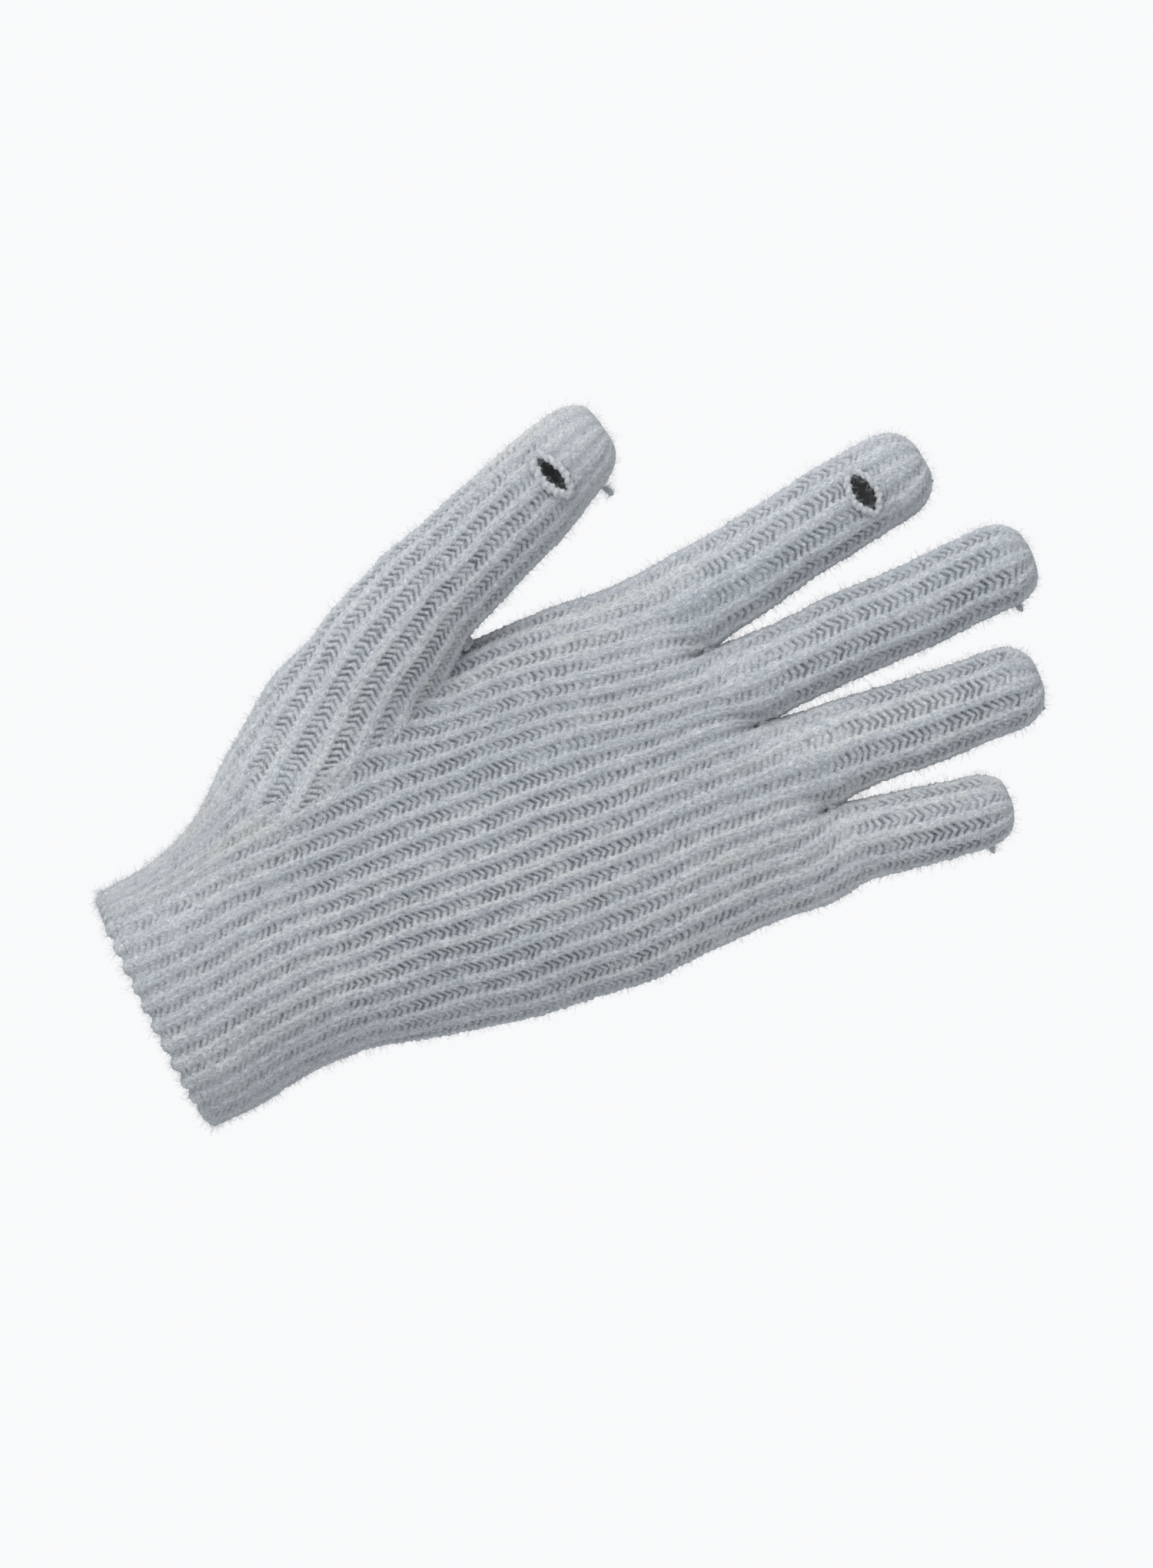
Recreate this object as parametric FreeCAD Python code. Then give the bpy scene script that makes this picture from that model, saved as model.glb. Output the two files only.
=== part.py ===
import FreeCAD, Part
import math
import os

# Ribbed knit glove for the left hand, full fingers, with a slit across the pad of
# the thumb and of the index finger.
# Frame: the origin is the centre of the wrist opening, +Z runs to the fingertips,
# the palm faces -Y and the thumb is on the -X side. Millimetres.

V = FreeCAD.Vector

# ---- fabric ----
wall = 1.8            # thickness of the ribbed fabric
joint_gap = 0.6       # space left between two tubes at a knuckle
fold_margin = 1.5     # degrees left between two tubes when a knuckle is fully bent

# ---- cuff ----
welt_height = 2.6     # rolled starting edge
welt_proud = 0.4
cuff_height = 32.0
thread_size = 0.6     # elastic thread laid inside the cuff
thread_heights = (6.0, 13.0, 20.0)

# ---- hand: height, thumb-side edge, little-finger edge, half depth ----
hand_sections = [
    (-4.0, -28.6, 28.6, 20.6),
    (0.0, -29.0, 28.8, 20.5),
    (16.0, -32.5, 28.4, 19.3),
    (32.0, -36.0, 28.6, 17.8),
    (50.0, -38.0, 33.3, 16.2),
    (70.0, -40.5, 38.3, 15.0),
    (90.0, -42.5, 41.6, 14.0),
    (110.0, -42.0, 43.0, 12.8),
    (130.0, -39.6, 44.2, 11.4),
    (147.0, -39.6, 46.4, 10.2),
    (166.0, -41.0, 50.0, 9.6),
]
hand_squareness = 2.35    # exponent of the section's superellipse
section_points = 24

# ---- thumb heel: centre x, centre z, lean, half width, half depth, centre y ----
heel_sections = [
    (-17.0, 31.0, -34.0, 9.0, 11.0, 0.0),
    (-25.5, 43.6, -34.0, 14.5, 14.0, -1.5),
    (-36.0, 59.2, -34.0, 16.8, 14.4, -4.0),
    (-48.0, 77.4, -31.0, 15.6, 13.2, -5.6),
    (-56.5, 95.0, -16.8, 12.9, 11.6, -6.0),
]
heel_join = [(-44.0, 104.0), (-21.0, 66.0), (-24.0, 46.0), (-33.5, 32.0)]

# ---- line where the finger tubes start, from the thumb side across ----
crotches = [(-16.6, 148.4), (3.4, 152.4), (28.1, 157.9)]
finger_start = [(-60.0, 144.2), *crotches, (70.0, 153.0)]

# ---- digits ----
# base: where the axis meets the hand; lean: degrees towards +X; flatness: depth over
# width; knuckles: heights of the fold lines along the axis; bends: how far each of
# them folds, in degrees; slit: height, length and opening of the touch slit
digits = {
    "index": dict(base=(-28.3, 147.0), y=0.0, lean=-5.5, length=63.5,
                  half_width=(10.9, 10.0), flatness=0.84,
                  knuckles=(6.0, 22.0, 38.8), bends=(65.0, 75.0, 45.0), slit=(46.5, 10.8, 5.4)),
    "middle": dict(base=(-6.3, 150.5), y=0.0, lean=2.2, length=72.0,
                   half_width=(9.6, 9.6), flatness=0.90,
                   knuckles=(7.0, 26.0, 47.0), bends=(65.0, 75.0, 45.0), slit=None),
    "ring": dict(base=(15.8, 155.0), y=0.0, lean=7.2, length=57.5,
                 half_width=(11.0, 10.0), flatness=0.83,
                 knuckles=(6.0, 20.5, 37.5), bends=(65.0, 75.0, 45.0), slit=None),
    "little": dict(base=(37.6, 157.0), y=0.0, lean=12.5, length=37.0,
                   half_width=(9.0, 8.6), flatness=0.88,
                   knuckles=(5.0, 14.8, 25.0), bends=(50.0, 60.0, 36.0), slit=None),
    "thumb": dict(base=(-56.5, 95.0), y=-6.0, lean=-16.8, length=55.5,
                  half_width=(12.9, 10.8), flatness=0.88,
                  knuckles=(11.0, 29.0), bends=(45.0, 60.0), slit=(38.6, 10.4, 3.8)),
}
fingers = ("index", "middle", "ring", "little")
segment_names = ("root", "base", "mid", "end")
thumb_segment_names = ("root", "mid", "end")
tube_start = -9.0         # tubes start below the finger line and are trimmed to it
thumb_turn = 35.0         # the thumb's root bends this much across the palm

# ---- touch slits ----
slit_lip = 1.3            # width of the bound edge around the slit
slit_lip_proud = 0.7
cap_bend = 85.0           # how far the fingertip cap folds back over the finger
cap_hinge_proud = 0.1     # the cap folds about a line just outside the back of the tube

# ---- fingertip closures ----
closure_length = 2.2
closure_radius = 1.1
closure_angle = 33.0      # degrees from the tip towards the +X side

# ---- seams and crotches ----
seam_width = 1.6
seam_start = 0.06         # share of the seam line left free beside the fork
clearance = 0.05          # between pieces that touch
cutter_reach = 30.0       # past the widest finger
slit_stop = 0.5           # a slit's cutter ends this far before the middle of the finger
wedge_side_room = 0.8     # a knuckle's wedge is this much wider than the finger
crotch_top_gap = 0.4
seam_proud = 0.8
crotch_width = 1.6
crotch_drop = 6.0
crotch_reach = 7.6
thumb_crotch_box = (-45.4, -43.4, -9.0, 4.0, 94.0, 102.0)

far = 200.0


def box(x0, x1, y0, y1, z0, z1):
    return Part.makeBox(x1 - x0, y1 - y0, z1 - z0, V(x0, y0, z0))


def prism_xz(points, y0, y1):
    """Solid with the outline points (x, z), from y0 to y1."""
    corners = [V(x, y0, z) for x, z in points]
    face = Part.Face(Part.makePolygon(corners + corners[:1]))
    return face.extrude(V(0, y1 - y0, 0))


def prism_yz(points, half_width):
    corners = [V(-half_width, y, z) for y, z in points]
    face = Part.Face(Part.makePolygon(corners + corners[:1]))
    return face.extrude(V(2 * half_width, 0, 0))


def hand_wire(section, grow):
    z, x_low, x_high, half_depth = section
    middle = (x_low + x_high) / 2
    half_width = (x_high - x_low) / 2 + grow
    depth = half_depth + grow
    power = 2 / hand_squareness
    points = []
    for i in range(section_points):
        angle = 2 * math.pi * i / section_points
        c = math.cos(angle)
        s = math.sin(angle)
        x = middle + half_width * math.copysign(abs(c) ** power, c)
        y = depth * math.copysign(abs(s) ** power, s)
        points.append(V(x, y, z))
    curve = Part.BSplineCurve()
    curve.interpolate(points, PeriodicFlag=True)
    return Part.Wire(curve.toShape())


def hand_solid(grow):
    return Part.makeLoft([hand_wire(s, grow) for s in hand_sections], True, False)


def heel_solid(grow):
    wires = []
    for x, z, lean, half_width, half_depth, y in heel_sections:
        ring = Part.Ellipse(V(0, 0, 0), max(half_width, half_depth) + grow,
                            min(half_width, half_depth) + grow)
        wire = Part.Wire(ring.toShape())
        if half_depth > half_width:
            wire.rotate(V(0, 0, 0), V(0, 0, 1), 90)
        wire.rotate(V(0, 0, 0), V(0, 1, 0), lean)
        wire.translate(V(x, y, z))
        wires.append(wire)
    return Part.makeLoft(wires, True, False)


def place(shape, digit):
    """Move a solid from the digit's own frame, axis along +Z, to the hand."""
    moved = shape.copy()
    moved.rotate(V(0, 0, 0), V(0, 1, 0), digit["lean"])
    moved.translate(V(digit["base"][0], digit["y"], digit["base"][1]))
    return moved


def digit_solid(digit, grow):
    """Tapered tube with a round tip, filled, in the digit's own frame."""
    base, end = digit["half_width"]
    straight = digit["length"] - end
    radius = end + grow
    foot = base + (base - end) * -tube_start / straight + grow
    corner = radius * math.sqrt(0.5)
    start = V(0, 0, tube_start)
    rim = V(foot, 0, tube_start)
    shoulder = V(radius, 0, straight)
    top = V(0, 0, straight + radius)
    dome = Part.Arc(shoulder, V(corner, 0, straight + corner), top).toShape()
    outline = Part.Wire([Part.makeLine(start, rim), Part.makeLine(rim, shoulder), dome,
                         Part.makeLine(top, start)])
    solid = Part.Face(outline).revolve(V(0, 0, 0), V(0, 0, 1), 360)
    middle = (base + end) / 2
    squash = FreeCAD.Matrix()
    squash.A22 = (middle * digit["flatness"] + grow) / (middle + grow)
    return solid.transformGeometry(squash)


def knuckle_cutter(height, bend, half_width):
    """A thin gap at the back of the knuckle and a wedge at the palm side."""
    half_gap = joint_gap / 2
    reach = cutter_reach
    rise = half_gap + reach * math.tan(math.radians(bend / 2 + fold_margin))
    outline = [(reach, height - half_gap), (reach, height + half_gap),
               (0, height + half_gap), (-reach, height + rise),
               (-reach, height - rise), (0, height - half_gap)]
    return prism_yz(outline, half_width)


def knuckle_cutters(name, digit, half_width=cutter_reach):
    """The first knuckle of a finger lies along the hand's X, the thumb's is turned."""
    cutters = []
    for height, bend in zip(digit["knuckles"], digit["bends"]):
        cutters.append(knuckle_cutter(height, bend, half_width))
    if name == "thumb":
        cutters[0].rotate(V(0, 0, 0), V(0, 0, 1), thumb_turn)
    else:
        cutters[0].rotate(V(0, 0, digit["knuckles"][0]), V(0, 1, 0), -digit["lean"])
    return cutters


def cap_cutter(height):
    reach = cutter_reach
    return box(-reach, reach, -reach, reach, height - joint_gap / 2, height + joint_gap / 2)


def hinges(name, digit):
    """Fold lines of one digit: name, point, axis and largest bend in degrees."""
    lean = math.radians(digit["lean"])
    across = V(math.cos(lean), 0, -math.sin(lean))
    along = V(math.sin(lean), 0, math.cos(lean))
    foot = V(digit["base"][0], digit["y"], digit["base"][1])
    labels = thumb_segment_names[1:] if name == "thumb" else segment_names[1:]
    lines = []
    for label, height, bend in zip(labels, digit["knuckles"], digit["bends"]):
        lines.append([f"{name}_{label}_knuckle", foot + along * height, across, bend])
    if name == "thumb":
        turn = math.radians(thumb_turn)
        lines[0][2] = across * math.cos(turn) + V(0, math.sin(turn), 0)
    else:
        lines[0][2] = V(1, 0, 0)
    if digit["slit"]:
        height = digit["slit"][0]
        base, end = digit["half_width"]
        width = base + (end - base) * height / (digit["length"] - end)
        back = V(0, width * digit["flatness"] + cap_hinge_proud, 0)
        lines.append([f"{name}_cap_fold", foot + along * height + back, -across, cap_bend])
    return lines


def slit_prism(slit, extra):
    """Eye-shaped prism through the palm side of a tube."""
    height, length, opening = slit
    half = length / 2 + extra
    rise = opening / 2 + extra
    left = V(-half, -cutter_reach, height)
    right = V(half, -cutter_reach, height)
    upper = Part.Arc(left, V(0, -cutter_reach, height + rise), right)
    lower = Part.Arc(right, V(0, -cutter_reach, height - rise), left)
    face = Part.Face(Part.Wire([upper.toShape(), lower.toShape()]))
    return face.extrude(V(0, cutter_reach - slit_stop, 0))


def write(name, solids):
    shape = solids[0] if len(solids) == 1 else Part.makeCompound(solids)
    volume = sum(s.Volume for s in solids)
    print(f"{name:24s} solids {len(solids)}  volume {volume:9.1f}  valid {shape.isValid()}")
    shape.exportStep(f"parts/{name}.step")


def biggest(shape):
    return [max(shape.Solids, key=lambda s: s.Volume)]


# ---- the hand's shell, from the cuff to the finger line, with the thumb heel ----
def make_hand():
    outer = hand_solid(0).fuse(heel_solid(0))
    inner = hand_solid(-wall).fuse(heel_solid(-wall))
    return outer.cut(inner)


def make_cuff(shell):
    ring = hand_solid(welt_proud).cut(hand_solid(-wall))
    welt = ring.common(box(-far, far, -far, far, 0, welt_height))
    write("cuff_edge_welt", biggest(welt))
    cuff = shell.common(box(-far, far, -far, far, welt_height, cuff_height))
    write("cuff_rib", biggest(cuff))
    lining = hand_solid(-wall).cut(hand_solid(-wall - thread_size))
    threads = []
    for z in thread_heights:
        ring = lining.common(box(-far, far, -far, far, z, z + thread_size))
        threads += ring.Solids
    write("cuff_elastic_threads", threads)


def make_panels(shell):
    heel_outline = [(-far, 104.0), *heel_join, (-far, 32.0)]
    heel_side = prism_xz(heel_outline, -far, far)
    above_line = prism_xz([*finger_start, (70.0, far * 2), (-60.0, far * 2)], -far, far)
    body = shell.common(box(-far, far, -far, far, cuff_height, far * 2)).cut(above_line)
    thumb = digits["thumb"]
    above_thumb = place(box(-40, 13.2, -40, 40, 0, 60), thumb)
    heel = body.common(heel_side).cut(above_thumb)
    write("thumb_heel_gusset", biggest(heel))
    rest = body.cut(heel_side)
    for name in fingers:
        digit = digits[name]
        width = digit["half_width"][0] + wedge_side_room
        rest = rest.cut(place(knuckle_cutters(name, digit, width)[0], digit))
    write("palm_panel", biggest(rest.common(box(-far, far, -far, 0, 0, far * 2))))
    write("back_panel", biggest(rest.common(box(-far, far, 0, far, 0, far * 2))))
    return above_line


def make_thumb_seams():
    """Linking cords where the thumb heel meets the palm and the back."""
    skin = hand_solid(seam_proud).cut(hand_solid(clearance)).cut(heel_solid(clearance))
    (x0, z0), (x1, z1) = heel_join[0], heel_join[1]
    run = math.hypot(x1 - x0, z1 - z0)
    nx = (z0 - z1) / run * seam_width / 2
    nz = (x1 - x0) / run * seam_width / 2
    xs = x0 + (x1 - x0) * seam_start
    zs = z0 + (z1 - z0) * seam_start
    outline = [(xs - nx, zs - nz), (xs + nx, zs + nz), (x1 + nx, z1 + nz), (x1 - nx, z1 - nz)]
    for name, y0, y1 in (("thumb_seam_palm", -far, -4), ("thumb_seam_back", 4, far)):
        strip = skin.common(prism_xz(outline, y0, y1))
        write(name, biggest(strip))


def make_crotches():
    """Saddles of extra stitches that close the fork between two fingers."""
    names = ("crotch_index_middle", "crotch_middle_ring", "crotch_ring_little")
    radius = crotch_width / 2
    reach = crotch_reach
    inside = hand_solid(-wall - clearance)
    for name, (x, z) in zip(names, crotches):
        top = z - radius - crotch_top_gap
        rounded = Part.makeCylinder(radius, 2 * reach, V(x, -reach, top), V(0, 1, 0))
        post = box(x - radius, x + radius, -reach, reach, z - crotch_drop, top)
        write(name, biggest(rounded.fuse(post).removeSplitter().common(inside)))


# ---- digits ----
def slit_lips(digit):
    """The bound edge of the slit, below and above the fold line of the cap."""
    height = digit["slit"][0]
    skin = digit_solid(digit, slit_lip_proud).cut(digit_solid(digit, 0.02))
    rim = slit_prism(digit["slit"], slit_lip).cut(slit_prism(digit["slit"], 0))
    lip = skin.common(rim).cut(knuckle_cutter(digit["knuckles"][-1], digit["bends"][-1], 30.0))
    lower = lip.common(box(-30, 30, -30, 30, height - 20, height - joint_gap / 2))
    upper = lip.common(box(-30, 30, -30, 30, height + joint_gap / 2, height + 20))
    return lower, upper


def tip_closure(digit):
    """The drawn-in end of the yarn, a small cone on the side of the tip."""
    radius = digit["half_width"][1]
    straight = digit["length"] - radius
    a = math.radians(90 - closure_angle)
    out = V(math.cos(a), 0, math.sin(a))
    foot = V(0, 0, straight) + out * (radius - 0.8)
    cone = Part.makeCone(closure_radius, closure_radius * 0.45, closure_length, foot, out)
    return cone.cut(digit_solid(digit, 0.02))


def make_digit(name, digit, above_line):
    shell = digit_solid(digit, 0).cut(digit_solid(digit, -wall))
    cutters = knuckle_cutters(name, digit)
    if digit["slit"]:
        cutters.append(cap_cutter(digit["slit"][0]))
        cutters.append(slit_prism(digit["slit"], 0))
    if name == "thumb":
        shell = shell.common(box(-40, 40, -40, 40, 0, 80))
    pieces = shell.cut(cutters[0])
    for cutter in cutters[1:]:
        pieces = pieces.cut(cutter)
    solids = sorted((s for s in pieces.Solids if s.Volume > 20), key=lambda s: s.CenterOfMass.z)
    names = list(thumb_segment_names if name == "thumb" else segment_names)
    if digit["slit"]:
        names.append("cap")
    if len(solids) != len(names):
        raise RuntimeError(f"{name}: {len(solids)} tubes, {len(names)} names")
    for segment, solid in zip(names, solids):
        placed = place(solid, digit)
        if segment == "root" and name != "thumb":
            placed = placed.common(above_line)
        label = f"{name}_tip_cap" if segment == "cap" else f"{name}_{segment}_tube"
        write(label, biggest(placed))
    if digit["slit"]:
        lower, upper = slit_lips(digit)
        write(f"{name}_slit_edge_lower", [place(s, digit) for s in biggest(lower)])
        write(f"{name}_slit_edge_upper", [place(s, digit) for s in biggest(upper)])
    write(f"{name}_tip_closure", [place(s, digit) for s in biggest(tip_closure(digit))])


def make_thumb_crotch():
    """Saddle of stitches in the fork between the thumb and the hand."""
    thumb = digits["thumb"]
    solid = box(*thumb_crotch_box).cut(hand_solid(clearance)).cut(heel_solid(clearance))
    solid = solid.cut(place(digit_solid(thumb, joint_gap / 2), thumb))
    write("crotch_thumb", biggest(solid))


def main():
    os.makedirs("parts", exist_ok=True)
    for old in os.listdir("parts"):
        os.remove(os.path.join("parts", old))
    shell = make_hand()
    make_cuff(shell)
    above_line = make_panels(shell)
    make_thumb_seams()
    make_crotches()
    make_thumb_crotch()
    for name, digit in digits.items():
        make_digit(name, digit, above_line)
        for label, point, axis, bend in hinges(name, digit):
            place_text = f"({point.x:.2f}, {point.y:.2f}, {point.z:.2f})"
            axis_text = f"({axis.x:.3f}, {axis.y:.3f}, {axis.z:.3f})"
            print(f"{label:24s} at {place_text} about {axis_text} 0 to {bend:.0f} degrees")


main()
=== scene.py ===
import bpy
import math
import numpy as np
from mathutils import Matrix, Vector


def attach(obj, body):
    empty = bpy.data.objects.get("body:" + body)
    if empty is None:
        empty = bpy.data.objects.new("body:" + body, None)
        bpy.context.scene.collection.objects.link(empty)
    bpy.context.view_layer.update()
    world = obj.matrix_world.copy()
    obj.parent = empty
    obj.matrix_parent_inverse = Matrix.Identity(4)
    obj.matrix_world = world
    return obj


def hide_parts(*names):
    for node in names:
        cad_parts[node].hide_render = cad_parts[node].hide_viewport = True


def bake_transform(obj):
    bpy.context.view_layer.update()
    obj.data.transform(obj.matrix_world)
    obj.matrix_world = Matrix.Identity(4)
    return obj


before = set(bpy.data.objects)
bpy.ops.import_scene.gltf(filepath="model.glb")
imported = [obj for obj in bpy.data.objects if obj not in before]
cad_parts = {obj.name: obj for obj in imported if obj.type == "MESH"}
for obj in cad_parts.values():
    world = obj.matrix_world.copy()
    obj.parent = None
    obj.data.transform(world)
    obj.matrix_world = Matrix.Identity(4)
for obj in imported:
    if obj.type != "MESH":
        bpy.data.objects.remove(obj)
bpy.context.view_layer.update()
rng = np.random.default_rng(7)

# A left knit glove. Everything is in millimetres until a mesh is made.
# Origin at the middle of the wrist opening, z to the fingertips, palm to -y, thumb to -x.
mm = 0.001
scene = bpy.context.scene

# Sections of the cuff and the hand: x of both edges and half the depth at each height
hand = {
    "heights": [-4, 0, 10, 18, 26, 36, 48, 58, 66, 74, 84, 100, 116, 132, 147, 166],
    "left": [-28.6, -29.2, -30.2, -32.0, -35.0, -40.2, -48.2, -54.6,
             -55.4, -50, -43.6, -42.2, -41.4, -39.6, -39.6, -41],
    "right": [28.6, 29.0, 29.2, 28.6, 28.0, 28.8, 32.8, 35.6, 37.7, 39.7, 41.7, 43.9, 44.5, 45.1, 47.0, 50],
    "depth": [20.6, 20.5, 19.9, 19.2, 18.4, 17.5, 16.4, 15.7, 15.2, 14.8, 14.3, 13.5, 12.4, 11.3, 10.2, 9.6],
    "squareness": 2.35,  # 2 is an ellipse
    "outlineSteps": 240,
    "ribs": 20,  # on each side of the hand
    "gathered": 7,  # ribs at the thumb edge that run close together under the heel of the thumb
    "gatheredAt": [-4, 30, 66, 100, 147],  # heights, and x of the last of those ribs there
    "gatheredTo": [-22.5, -22.3, -21.0, -18.2, -14.0],
    "gatherSoft": 0.10,  # how softly tight ribs turn into wide ones
    "partsOver": (88, 150),  # heights over which the ribs part for the fingers
    "cuffTop": 32.0,
    "cuffBottom": -2.3,
}
knit = {
    "ribSteps": 12,
    "courseSteps": 5,
    "course": 1.65,  # height of one row of stitches
    "fingerCourse": 1.8,
    "wall": 1.5,
    "wallAtRib": 0.35,  # thicker by this under a rib
    "full": 4.4,  # rib spacing at which the relief has its full height
    "least": 0.15,  # share of the relief left where ribs are tight
}

# Places between two fingers: x and z
crotches = [(-16.6, 148.4), (3.4, 152.4), (28.1, 157.9)]
parting = {
    "length": 15.0,  # height over which the hand divides into fingers
    "sharpness": 2,
    "outside": 1,  # the division starts this far below an outer finger's base
    "straightens": 12,  # rows turn square to the finger over this height
    "pull": 4,  # how quickly a finger's edge leaves the fork
    "pulledShare": 0.5,
}

# base: where the tube's axis starts; lean: degrees from upright; widths: half widths at base and tip;
# flat: depth over width; start: height of the first row; low, high: where the root bends;
# bends, splits: distances along the finger; cap: where the tip folds back;
# slit: its distance along the finger, its width and how far it stands open
digits = {
    "index": {"base": (-28.3, 0, 147), "lean": -5.5, "length": 62.6, "widths": (10.9, 10.0), "flat": 0.84,
              "start": 149.0, "low": 149.1, "high": 158.5, "slit": (46.5, 10.8, 5.4),
              "bends": [(15, 29), (33.5, 44)], "cap": (44.2, 53.0), "splits": (13.5, 31.0, 44.2)},
    "middle": {"base": (-6.3, 0, 150.5), "lean": 2.2, "length": 71.2, "widths": (9.6, 9.6), "flat": 0.90,
               "start": 153.0, "low": 153.1, "high": 163.0, "slit": None,
               "bends": [(18, 34), (41, 53)], "splits": (15.5, 37.5)},
    "ring": {"base": (15.8, 0, 155), "lean": 7.2, "length": 56.2, "widths": (10.6, 9.5), "flat": 0.83,
             "start": 158.2, "low": 158.3, "high": 167.0, "slit": None,
             "bends": [(14, 27), (32, 43)], "splits": (13.0, 29.5)},
    "little": {"base": (37.6, 0, 157), "lean": 12.5, "length": 36, "widths": (9, 8.3), "flat": 0.88,
               "start": 158.2, "low": 158.4, "high": 166.5, "slit": None,
               "bends": [(10.5, 19), (21.5, 28.5)], "splits": (10.3, 20.2)},
}
digitOrder = list(digits)
for key, digit in digits.items():
    digit["name"] = key
    courseCount = round((digit["start"] - hand["cuffTop"]) / knit["course"])
    digit["start"] = hand["cuffTop"] + courseCount * knit["course"]  # a whole number of courses up

# heel: x, z, lean, half width, half depth and y of its sections, from the wrist up to the thumb
thumb = {
    "base": (-56.5, -6, 95), "lean": -16.8, "length": 54.6, "widths": (12.9, 10.8), "flat": 0.88,
    "slit": (38.6, 11.6, 4.3), "ribs": 14,
    "round": 0.56, "skew": 0.14, "narrower": 0.14,  # the tip is boxy and slanted
    "slants": (24, 50.6),  # where that begins and is complete
    "heel": [(-17, 31, -34, 9, 11, 0), (-25.5, 43.6, -34, 14.5, 14, -1.5), (-36, 59.2, -34, 15.4, 12.6, -3.0),
             (-48, 77.4, -31, 14.8, 13.2, -5.6), (-56.5, 95, -16.8, 12.9, 11.6, -6)],
    "bends": [(4.5, 17.5), (23, 35)], "cap": (37.6, 45.5), "splits": (4.5, 20.0, 36.6),
}
tipRound = 0.78  # 1 is a half circle, less is blunter
slitShape = {"round": 0.8, "spread": 3.2}  # stitches are pushed aside over this distance


def smooth(edgeLow, edgeHigh, value):
    t = np.clip((value - edgeLow) / (edgeHigh - edgeLow), 0, 1)
    return t * t * (3 - 2 * t)


def through(at, places, values):
    # a smooth curve through the values
    places = np.asarray(places, float)
    values = np.asarray(values, float)
    slopes = np.gradient(values, places)
    at = np.clip(np.asarray(at, float), places[0], places[-1])
    i = np.clip(np.searchsorted(places, at) - 1, 0, len(places) - 2)
    gap = places[i + 1] - places[i]
    t = (at - places[i]) / gap
    return ((2 * t**3 - 3 * t**2 + 1) * values[i] + (t**3 - 2 * t**2 + t) * gap * slopes[i]
            + (3 * t**2 - 2 * t**3) * values[i + 1] + (t**3 - t**2) * gap * slopes[i + 1])


def unit(vectors):
    return vectors / np.maximum(np.linalg.norm(vectors, axis=-1, keepdims=True), 1e-9)


def runOf(steps):
    return np.concatenate([[0], np.cumsum(steps)])


def handSection(z):
    left = through(z, hand["heights"], hand["left"])
    right = through(z, hand["heights"], hand["right"])
    return (left + right) / 2, (right - left) / 2, through(z, hand["heights"], hand["depth"])


def axes(digit):
    # across the finger and along it
    a = math.radians(digit["lean"])
    return np.array([math.cos(a), 0, -math.sin(a)]), np.array([math.sin(a), 0, math.cos(a)])


def halfWidth(digit, along):
    # half width and height at a distance along the tube's surface, the round tip included
    tip = digit["widths"][1]
    straight = digit["length"] - tip
    angle = np.clip((along - straight) / tip, 0, math.pi / 2)
    root = digit["widths"][0]
    taper = root + (tip - root) * np.minimum(along, straight) / straight
    width = np.where(along < straight, taper, tip * np.cos(angle) ** digit.get("round", tipRound))
    return width, np.where(along < straight, along, straight + tip * np.sin(angle))


def surfaceLength(digit):
    tip = digit["widths"][1]
    return digit["length"] - tip + tip * math.pi / 2


def slitOpening(digit, across):
    middle, width, tall = digit["slit"]
    return tall / 2 * np.clip(1 - (across / (width / 2)) ** 2, 0, 1) ** slitShape["round"]


def slitShift(digit, across, height, above):
    # how far the stitches are pushed along the finger at the slit: up above it, down below it
    if not digit["slit"]:
        return 0 * height
    away = height - digit["slit"][0]
    side = 1.0 if above else -1.0
    return side * slitOpening(digit, across) * np.exp(-np.abs(away) / slitShape["spread"])


halfTurn = np.linspace(math.pi, 2 * math.pi, hand["outlineSteps"])
cosPart = np.sign(np.cos(halfTurn)) * np.abs(np.cos(halfTurn)) ** (2 / hand["squareness"])
sinPart = np.abs(np.sin(halfTurn)) ** (2 / hand["squareness"])


def shareAt(x, z):
    # how far round the palm side a place is, from the thumb edge (0) to the other edge (1)
    centre, half, depth = handSection(z)
    px = centre + half * cosPart
    run = runOf(np.hypot(np.diff(px), np.diff(depth * sinPart)))
    return float(np.interp(x, px, run / run[-1]))


forkShares = [0] + [shareAt(*fork) for fork in crotches] + [1]
evenShares = [0, 0.25, 0.5, 0.75, 1]


def handPoint(side, z, share):
    # share runs from the thumb edge (0) to the other edge (1); side is -1 palm, 1 back
    rows = z[:, 0]
    centre, half, depth = handSection(rows)
    edge = hand["gathered"] / hand["ribs"]
    gatheredTo = through(rows, hand["gatheredAt"], hand["gatheredTo"])
    soften = hand["gatherSoft"]
    x = np.empty(share.shape)
    y = np.empty(share.shape)
    for r in range(len(rows)):
        px = centre[r] + half[r] * cosPart
        py = depth[r] * sinPart
        run = runOf(np.hypot(np.diff(px), np.diff(py)))
        run /= run[-1]
        s = share[r]
        low = np.interp(gatheredTo[r], px, run)
        wide = np.where(s < edge, s / edge * low, low + (s - edge) / (1 - edge) * (1 - low))
        soft = smooth(edge - soften, edge + soften, s)
        even = s * (low / edge) * (1 - soft) + wide * soft
        wanted = np.where(np.abs(s - edge) < soften, even, wide)
        parted = through(s, evenShares, forkShares)
        wanted = wanted + (parted - wanted) * smooth(*hand["partsOver"], rows[r])
        x[r] = np.interp(wanted, run, px)
        y[r] = np.interp(wanted, run, py)
    return x, side * y


def fingerSides(digit):
    # the forks on a finger's left and right, where it has them
    i = digitOrder.index(digit["name"])
    left = crotches[i - 1] if i > 0 else None
    right = crotches[i] if i < len(crotches) else None
    return left, right


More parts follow.
